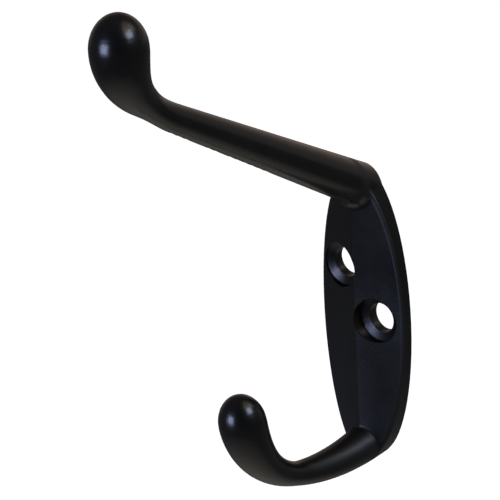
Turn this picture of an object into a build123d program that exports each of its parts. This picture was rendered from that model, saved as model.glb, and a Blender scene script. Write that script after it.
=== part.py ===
# Wall coat hook, cast in one piece: a faceted plate with a long upper arm and a short lower arm.
# The wall is the plane Y = 0, the plate stands along Z, and both arms reach out along -Y.
# The origin is the centre of the plate's back face. Sizes are millimetres and degrees.
import os
from math import cos, radians, sin, tan

from build123d import *

# Plate: an upright ellipse with two flat facets that meet in a ridge
plate_width = 18.5
plate_height = 54.8
plate_ridge_thickness = 4.8
plate_facet_slope = 14.0
plate_ridge_round = 1.0
plate_edge_round = 0.4
plate_back_chamfer = 0.25

# Screw holes: one on each facet, set on a slant, sunk for a countersunk head
hole_diameter = 5.5
head_diameter = 8.2
head_recess = 0.3
head_cone_angle = 128.0
hole_rim_chamfer = 0.12
hole_edge_inset = 5.47
left_hole_height = 9.1
right_hole_height = 0.1

# Upper arm: straight and tapering, then bent upright into an egg-shaped knob
upper_root_inset = 3.92
upper_rise_angle = 29.8
upper_straight = 54.2
upper_ease_radius = 41.6
upper_ease_angle = 14.4
upper_curl_radius = 12.6
upper_curl_angle = 46.8
upper_root_radius = 4.05
upper_neck_radius = 2.4
upper_knob_radius = 5.05
upper_knob_crown = 6.25
upper_swell = 15.9

# Lower arm: dips a little out of the plate, then curls up into a smaller knob
lower_root_inset = 3.7
lower_rise_angle = -11.4
lower_straight = 2.1
lower_ease_radius = 45.1
lower_ease_angle = 23.9
lower_curl_radius = 19.0
lower_curl_angle = 66.3
lower_root_radius = 3.7
lower_neck_radius = 2.2
lower_knob_radius = 4.25
lower_knob_crown = 5.5
lower_swell = 20.8

# Even spacing of the sections that an arm is lofted through, and the steps over its crown
section_spacing = 2.0
crown_steps = 6

# Casting radius where each arm runs into the plate
upper_root_fillet = 2.0
lower_root_fillet = 0.6


def arm_spine(root_height, rise, buried, straight, bends):
    side = Plane(origin=(0, 0, root_height), x_dir=(0, -1, 0), z_dir=(-1, 0, 0))
    with BuildLine() as spine:
        start = (-buried * cos(radians(rise)), -buried * sin(radians(rise)))
        run = PolarLine(start, buried + straight, rise)
        for bend_radius, turn in bends:
            run = JernArc(run @ 1, run % 1, bend_radius, turn)
    return side.from_local_coords(spine.line).wires()[0]


def arm_radius(distance, neck_at, root, neck, knob, swell):
    if distance < neck_at:
        return neck + (root - neck) * (1 - distance / neck_at)
    share = (distance - neck_at) / swell
    return neck + (knob - neck) * share * share * (3 - 2 * share)


def cast_arm(spine, buried, root, neck, knob, crown, swell, seam):
    neck_at = spine.length - buried - swell
    count = round(spine.length / section_spacing)
    stations = []
    for step in range(count + 1):
        share = step / count
        radius = arm_radius(share * spine.length - buried, neck_at, root, neck, knob, swell)
        stations.append((spine @ share, spine % share, radius))
    knob_centre = spine @ 1
    knob_axis = spine % 1
    for step in range(1, crown_steps):
        latitude = radians(90 * step / crown_steps)
        stations.append((knob_centre + knob_axis * crown * sin(latitude), knob_axis, knob * cos(latitude)))

    sections = []
    for centre, along, radius in stations:
        with BuildSketch(Plane(centre, x_dir=Vector(0, along.Z, -along.Y) * seam, z_dir=along)) as section:
            Circle(radius)
        sections.append(section.sketch)
    with BuildPart() as arm:
        loft(sections=[*sections, Vertex(*(knob_centre + knob_axis * crown))])
    return arm.part


upper_spine = arm_spine(
    plate_height / 2 - upper_root_inset,
    upper_rise_angle,
    upper_root_radius,
    upper_straight,
    [(upper_ease_radius, upper_ease_angle), (upper_curl_radius, upper_curl_angle)],
)
lower_spine = arm_spine(
    lower_root_inset - plate_height / 2,
    lower_rise_angle,
    lower_root_radius,
    lower_straight,
    [(lower_ease_radius, lower_ease_angle), (lower_curl_radius, lower_curl_angle)],
)
upper_arm = cast_arm(
    upper_spine,
    upper_root_radius,
    upper_root_radius,
    upper_neck_radius,
    upper_knob_radius,
    upper_knob_crown,
    upper_swell,
    1,
)
lower_arm = cast_arm(
    lower_spine,
    lower_root_radius,
    lower_root_radius,
    lower_neck_radius,
    lower_knob_radius,
    lower_knob_crown,
    lower_swell,
    -1,
)

with BuildPart() as coat_hook:
    with BuildSketch(Plane.XZ):
        Ellipse(plate_width / 2, plate_height / 2)
    extrude(amount=plate_ridge_thickness)

    roof_reach = plate_width / 2 + plate_edge_round
    edge_thickness = plate_ridge_thickness - roof_reach * tan(radians(plate_facet_slope))
    with BuildSketch(Plane.XY.offset(-plate_height / 2)) as roof:
        with BuildLine():
            Polyline(
                (-roof_reach, 0),
                (-roof_reach, -edge_thickness),
                (0, -plate_ridge_thickness),
                (roof_reach, -edge_thickness),
                (roof_reach, 0),
                close=True,
            )
        make_face()
        fillet(roof.vertices().group_by(Axis.Y)[0], plate_ridge_round)
    extrude(amount=plate_height, mode=Mode.INTERSECT)

    add(upper_arm)
    add(lower_arm)
    split(bisect_by=Plane.XZ, keep=Keep.TOP)

    # Front edge of the plate, then the casting radius where each arm leaves it
    front_edges = coat_hook.edges().filter_by_position(Axis.Y, -plate_ridge_thickness, -plate_back_chamfer)
    rim_edges = front_edges.filter_by(GeomType.LINE, reverse=True).sort_by(SortBy.LENGTH)[-2:]
    fillet(rim_edges, plate_edge_round)
    for arm_place, casting_radius in ((-1, upper_root_fillet), (0, lower_root_fillet)):
        arm_faces = coat_hook.faces().sort_by(lambda face: face.bounding_box().min.Y)[:2]
        arm_edges = arm_faces.sort_by(Axis.Z)[arm_place].edges()
        root_edges = arm_edges.filter_by_position(Axis.Y, -plate_ridge_thickness, -plate_back_chamfer)
        fillet(root_edges, casting_radius)

    # Screw holes, bored square to the wall, with the head's cone just under the low side of the facet
    hole_side_offset = plate_width / 2 - hole_edge_inset
    facet_drop = (hole_side_offset + head_diameter / 2) * tan(radians(plate_facet_slope))
    head_top = -(plate_ridge_thickness - facet_drop - head_recess)
    left_seat = Plane((-hole_side_offset, head_top, left_hole_height), z_dir=(0, -1, 0))
    right_seat = Plane((hole_side_offset, head_top, right_hole_height), z_dir=(0, -1, 0))
    with Locations(left_seat, right_seat):
        CounterSinkHole(hole_diameter / 2, head_diameter / 2, plate_ridge_thickness, head_cone_angle)
    bores = coat_hook.faces().filter_by(GeomType.CYLINDER)
    bores = bores.filter_by(lambda face: face.radius == head_diameter / 2)
    mouths = bores.edges().filter_by(GeomType.LINE, reverse=True)
    mouths = mouths.filter_by_position(Axis.Y, -plate_ridge_thickness, head_top, inclusive=(True, False))
    chamfer(mouths, hole_rim_chamfer)

    # Broken edge all round the back face
    back_face = coat_hook.faces().filter_by(GeomType.PLANE).sort_by(Axis.Y)[-1]
    chamfer(back_face.outer_wire().edges(), plate_back_chamfer)

coat_hook.part.label = "coat_hook"

os.makedirs("parts", exist_ok=True)
export_step(coat_hook.part, "parts/coat_hook.step")
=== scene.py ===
import math

import bpy
from mathutils import Matrix, Vector

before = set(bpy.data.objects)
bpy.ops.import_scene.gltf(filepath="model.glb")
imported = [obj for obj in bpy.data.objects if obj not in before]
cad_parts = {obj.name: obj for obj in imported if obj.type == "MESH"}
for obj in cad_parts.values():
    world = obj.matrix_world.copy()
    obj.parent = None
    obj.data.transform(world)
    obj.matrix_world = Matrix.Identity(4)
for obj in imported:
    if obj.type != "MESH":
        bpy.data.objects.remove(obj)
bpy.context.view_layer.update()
scene = bpy.context.scene
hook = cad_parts["coat_hook"]
print("stage 1: frame loaded, one casting")


def toLinear(hexColour):
    parts = [int(hexColour[i:i + 2], 16) / 255 for i in (1, 3, 5)]
    return [c / 12.92 if c <= 0.04045 else ((c + 0.055) / 1.055) ** 2.4 for c in parts] + [1.0]


# Bearing from straight ahead of the wall towards its right, height above level, both in degrees
def direction(bearing, height):
    turn, lift = math.radians(bearing), math.radians(height)
    return Vector((math.sin(turn) * math.cos(lift), -math.cos(turn) * math.cos(lift), math.sin(lift)))


def addNode(tree, kind, place, settings=None, inputs=None):
    node = tree.nodes.new(kind)
    node.location = place
    for name, value in (settings or {}).items():
        setattr(node, name, value)
    for name, value in (inputs or {}).items():
        if isinstance(value, bpy.types.NodeSocket):
            tree.links.new(value, node.inputs[name])
        else:
            node.inputs[name].default_value = value
    return node


def addRamp(tree, place, source, stops):
    ramp = addNode(tree, "ShaderNodeValToRGB", place, None, {"Fac": source})
    dots = ramp.color_ramp.elements
    while len(dots) < len(stops):
        dots.new(1.0)
    for dot, (position, colour) in zip(dots, stops):
        dot.position, dot.color = position, toLinear(colour)
    return ramp.outputs["Color"]


def addRange(tree, place, value, fromMin, fromMax, toMin=0.0, toMax=1.0):
    limits = {"From Min": fromMin, "From Max": fromMax, "To Min": toMin, "To Max": toMax}
    return addNode(tree, "ShaderNodeMapRange", place, None, {"Value": value, **limits}).outputs["Result"]


def addMath(tree, place, operation, *values):
    inputs = dict(enumerate(values))
    return addNode(tree, "ShaderNodeMath", place, {"operation": operation}, inputs).outputs["Value"]


def addNoise(tree, place, vector, look):
    inputs = {"Vector": vector, "Scale": 1 / look["size"],
              "Detail": look["detail"], "Roughness": look["rough"]}
    return addNode(tree, "ShaderNodeTexNoise", place, None, inputs).outputs["Fac"]


def mixByCamera(tree, place, others, camera):
    ray = addNode(tree, "ShaderNodeLightPath", (place[0] - 300, place[1] + 250))
    mixed = addNode(tree, "ShaderNodeMixShader", place, None,
                    {0: ray.outputs["Is Camera Ray"], 1: others, 2: camera})
    return mixed.outputs["Shader"]


def newMaterial(name):
    material = bpy.data.materials.new(name)
    material.use_nodes = True
    material.node_tree.nodes.clear()
    return material, material.node_tree


# Black powder coat on die-cast zinc: a thin satin skin, so broad soft highlights over a nearly black body,
# with the fine orange peel that melted powder leaves, more matte at the plate's lower end and front edge
coat = {
    "bodyDark": "#0a0a0b",
    "bodyLight": "#101011",
    "sheenLow": 0.23,  # roughness where the coat is glossiest
    "sheenHigh": 0.29,
    "specular": 0.5,
    "cloud": {"size": 0.007, "detail": 3.0, "rough": 0.55},  # slow change of sheen and tone, sizes in metres
    "cloudLow": 0.3,
    "cloudHigh": 0.7,
    "peel": {"size": 0.00045, "detail": 1.5, "rough": 0.5},  # dimples of the orange peel
    "peelDepth": 0.000016,
    "armPeel": 0.3,  # share of the peel on the arms and knobs, which are smoother than the plate
    "grain": {"size": 0.00018, "detail": 1.0, "rough": 0.6},  # coarser than the real 0.1 mm, so that it shows
    "grainDepth": 0.000004,
    "topMatte": -0.03,  # roughness added on the upper part of the plate
    "footMatte": 0.20,  # roughness added at its lower end, where the powder lies coarser
    "edgeMatte": 0.30,  # roughness added on its front edge, where the powder draws thin
}
# The plate's own sizes in metres, and where its coat changes
plate = {
    "halfWidth": 0.00925,
    "halfHeight": 0.0274,
    "ridge": 0.0048,  # thickness at the ridge
    "slope": 14.0,  # degrees of each facet
    "edgeBand": 0.00045,  # depth of the matte front edge
    "rimFrom": 0.94,  # shares of the oval's reach
    "rimTo": 0.965,
    "matteFrom": 0.011,  # heights
    "matteTo": -0.0205,
    "armStep": 0.0015,  # how far out from the ridge the plate's texture ends
    "armFade": 0.025,  # how far out the matte foot fades along the lower arm
}
coatMaterial, tree = newMaterial("black_powder_coat_on_zinc")
place = addNode(tree, "ShaderNodeTexCoord", (-1300, 0)).outputs["Object"]
axis = addNode(tree, "ShaderNodeSeparateXYZ", (-1100, 700), None, {"Vector": place}).outputs
ridgeFront = -plate["ridge"]
onPlate = addRange(tree, (-900, 900), axis["Y"], ridgeFront - plate["armStep"], ridgeFront)
nearWall = addRange(tree, (-700, 900), axis["Y"], ridgeFront - plate["armFade"], ridgeFront)

cloud = addNoise(tree, (-900, 250), place, coat["cloud"])
drift = addRange(tree, (-700, 250), cloud, coat["cloudLow"], coat["cloudHigh"])
body = addRamp(tree, (-450, 400), drift, [(0, coat["bodyDark"]), (1, coat["bodyLight"])])
sheen = addRange(tree, (-450, 150), drift, 0.0, 1.0, coat["sheenLow"], coat["sheenHigh"])
foot = addRange(tree, (-900, 650), axis["Z"], plate["matteFrom"], plate["matteTo"],
                coat["topMatte"], coat["footMatte"])
matte = addMath(tree, (-300, 700), "MULTIPLY_ADD", nearWall, foot, sheen)

# The front edge: just under the two facets, and close to the oval's outline
aside = addMath(tree, (-900, 1150), "ABSOLUTE", axis["X"])
facetFall = -math.tan(math.radians(plate["slope"]))
front = addMath(tree, (-700, 1150), "MULTIPLY_ADD", aside, facetFall, plate["ridge"])
depth = addMath(tree, (-500, 1150), "ADD", front, axis["Y"])
nearFront = addRange(tree, (-300, 1150), depth, plate["edgeBand"], plate["edgeBand"] / 2)
oval = addNode(tree, "ShaderNodeVectorMath", (-900, 1400), {"operation": "MULTIPLY"},
               {0: place, 1: (1 / plate["halfWidth"], 0, 1 / plate["halfHeight"])})
outward = addNode(tree, "ShaderNodeVectorMath", (-700, 1400), {"operation": "LENGTH"},
                  {0: oval.outputs["Vector"]})
nearRim = addRange(tree, (-500, 1400), outward.outputs["Value"], plate["rimFrom"], plate["rimTo"],
                   0.0, coat["edgeMatte"])
rim = addMath(tree, (-100, 1150), "MULTIPLY", nearFront, nearRim)
rough = addMath(tree, (-100, 800), "MULTIPLY_ADD", onPlate, rim, matte)

peel = addNoise(tree, (-900, -100), place, coat["peel"])
grain = addNoise(tree, (-900, -350), place, coat["grain"])
peelShare = addRange(tree, (-700, -400), onPlate, 0.0, 1.0, coat["armPeel"], 1.0)
peelBump = addNode(tree, "ShaderNodeBump", (-500, -100), None,
                   {"Height": peel, "Distance": coat["peelDepth"], "Strength": peelShare})
grainBump = addNode(tree, "ShaderNodeBump", (-300, -250), None,
                    {"Height": grain, "Distance": coat["grainDepth"], "Strength": 1.0,
                     "Normal": peelBump.outputs["Normal"]})
skin = addNode(tree, "ShaderNodeBsdfPrincipled", (0, 0), None,
               {"Base Color": body, "Roughness": rough, "Specular IOR Level": coat["specular"],
                "Normal": grainBump.outputs["Normal"]})
addNode(tree, "ShaderNodeOutputMaterial", (300, 0), None, {"Surface": skin.outputs["BSDF"]})
hook.data.materials.clear()
hook.data.materials.append(coatMaterial)
print("stage 2: powder coat on the casting")

# White floor well under the hook, which hangs as on a wall: the camera sees it white with the hook's shadow,
# # and for the coat it glows as a painted pool of warm light straight below that fades into the dim room
floorLook = {
    "drop": 0.9,  # metres under the hook
    "reach": 12.0,
    "ahead": -0.03,  # its middle, under the middle of the arms
    "sheet": "#f4f4f4",
    "glow": 0.8,
    "poolRadius": 1.08,
    "poolMiddle": "#bcb5aa",
    "poolRing": "#95928d",
    "poolRim": "#505050",
    "ringAt": 0.46,  # shares of the way in from the rim
    "middleAt": 0.85,
}
whiteLight = (1, 1, 1, 1)
floorPlace = (0, floorLook["ahead"], -floorLook["drop"])
bpy.ops.mesh.primitive_plane_add(size=floorLook["reach"], location=floorPlace)
floor = bpy.context.object
floor.name = "floor"
floorMaterial, tree = newMaterial("white_floor")
spot = addNode(tree, "ShaderNodeTexCoord", (-1300, -150)).outputs["Object"]
shrink = addNode(tree, "ShaderNodeVectorMath", (-1100, -150), {"operation": "SCALE"},
                 {"Vector": spot, "Scale": 1 / floorLook["poolRadius"]})
fade = addNode(tree, "ShaderNodeTexGradient", (-900, -150), {"gradient_type": "SPHERICAL"},
               {"Vector": shrink.outputs["Vector"]})
poolColour = addRamp(tree, (-700, -150), fade.outputs["Fac"],
                     [(0, floorLook["poolRim"]), (floorLook["ringAt"], floorLook["poolRing"]),
                      (floorLook["middleAt"], floorLook["poolMiddle"])])
# Painted glow: the floor emits this pool of warm light itself, for every ray but the camera's
pool = addNode(tree, "ShaderNodeEmission", (-300, -150), None, {"Color": poolColour, "Strength": 1.0})
paper = addNode(tree, "ShaderNodeBsdfDiffuse", (-300, 50), None, {"Color": toLinear(floorLook["sheet"])})
glow = addNode(tree, "ShaderNodeEmission", (-300, 200), None,
               {"Color": whiteLight, "Strength": floorLook["glow"]})
lit = addNode(tree, "ShaderNodeAddShader", (-100, 100), None,
              {0: paper.outputs["BSDF"], 1: glow.outputs["Emission"]})
seen = mixByCamera(tree, (100, 50), pool.outputs["Emission"], lit.outputs["Shader"])
addNode(tree, "ShaderNodeOutputMaterial", (300, 0), None, {"Surface": seen})
floor.data.materials.append(floorMaterial)

# Room: white where the camera sees it, dim for the light that the coat reflects, darkest on the camera's side
# and lighter and browner across from it
room = {
    "dark": "#363637",
    "middle": "#535353",
    "brown": "#b09688",
    "middleFrom": 0.25,  # shares of the way from the brown side to the dark side
    "middleTo": 0.75,
    "darkBearing": 43,
    "darkHeight": 20,
}
world = bpy.data.worlds.new("studio")
scene.world = world
world.use_nodes = True
tree = world.node_tree
tree.nodes.clear()
gaze = addNode(tree, "ShaderNodeTexCoord", (-1300, 0)).outputs["Generated"]
darkSide = direction(room["darkBearing"], room["darkHeight"])
turn = addNode(tree, "ShaderNodeVectorMath", (-1100, 0), {"operation": "DOT_PRODUCT"}, {0: gaze, 1: darkSide})
share = addRange(tree, (-900, 0), turn.outputs["Value"], -1.0, 1.0)
roomColour = addRamp(tree, (-700, 0), share,
                     [(0, room["brown"]), (room["middleFrom"], room["middle"]),
                      (room["middleTo"], room["middle"]), (1, room["dark"])])
dim = addNode(tree, "ShaderNodeBackground", (-300, 0), None, {"Color": roomColour, "Strength": 1.0})
white = addNode(tree, "ShaderNodeBackground", (-300, 150), None, {"Color": whiteLight, "Strength": 1.0})
mixed = mixByCamera(tree, (0, 100), dim.outputs["Background"], white.outputs["Background"])
addNode(tree, "ShaderNodeOutputWorld", (300, 100), None, {"Surface": mixed})
print("stage 3: floor and room")

# Softboxes, seen from the hook: bearing, height and the two widths in degrees, bright as the light's radiance
lamps = {
    "window": {"bearing": -13, "height": 4.5, "wide": 26, "tall": 22, "colour": "#c4d0ff", "bright": 11.0},
    "keyBox": {"bearing": 103, "height": 37, "wide": 25, "tall": 18, "colour": "#d5e5ff", "bright": 9.8},
    "keyWarm": {"bearing": 97, "height": 55, "wide": 17, "tall": 13, "colour": "#ffdcaa", "bright": 1.9},
    "keyTan": {"bearing": 126, "height": 67, "wide": 28, "tall": 11, "colour": "#ffdea3", "bright": 1.1},
    "backPanel": {"bearing": 178, "height": 8, "wide": 70, "tall": 26, "colour": "#fff4e6", "bright": 0.14},
    "overBack": {"bearing": 136, "height": 45, "wide": 24, "tall": 24, "colour": "#fff3e6", "bright": 1.4},
}
lampRange = 5.0  # metres
lampAim = Vector((0, -0.03, 0.02))
for lampName, lamp in lamps.items():
    away = direction(lamp["bearing"], lamp["height"])
    data = bpy.data.lights.new(lampName, "AREA")
    data.shape = "RECTANGLE"
    data.size = 2 * lampRange * math.tan(math.radians(lamp["wide"] / 2))
    data.size_y = 2 * lampRange * math.tan(math.radians(lamp["tall"] / 2))
    data.color = toLinear(lamp["colour"])[:3]
    data.energy = lamp["bright"] * math.pi * data.size * data.size_y
    box = bpy.data.objects.new(lampName, data)
    box.location = lampAim + away * lampRange
    box.rotation_euler = away.to_track_quat("Z", "Y").to_euler()
    box.visible_camera = False
    scene.collection.objects.link(box)
print("stage 4: softboxes")

# Long lens from the right and a little above, levelled as in the photograph
view = {
    "bearing": 43.01,
    "height": 21.57,
    "roll": -3.28,
    "range": 0.7,  # metres from the origin
    "aside": -0.02108,
    "raise": 0.01193,
    "lens": 283.2,
    "sensor": 36,
    "clipEnd": 50,
}
toward = direction(view["bearing"], view["height"])
bearing, roll = math.radians(view["bearing"]), math.radians(view["roll"])
level = Vector((math.cos(bearing), math.sin(bearing), 0))
upward = toward.cross(level)
across = level * math.cos(roll) + upward * math.sin(roll)
stand = level * view["aside"] + upward * view["raise"] + toward * view["range"]
cameraData = bpy.data.cameras.new("camera")
cameraData.sensor_fit = "HORIZONTAL"
cameraData.sensor_width = view["sensor"]
cameraData.lens = view["lens"]
cameraData.clip_end = view["clipEnd"]
camera = bpy.data.objects.new("camera", cameraData)
axes = Matrix((across, toward.cross(across), toward)).transposed().to_4x4()
camera.matrix_world = Matrix.Translation(stand) @ axes
scene.collection.objects.link(camera)
scene.camera = camera
scene.view_settings.view_transform = "Standard"
print("stage 5: camera")
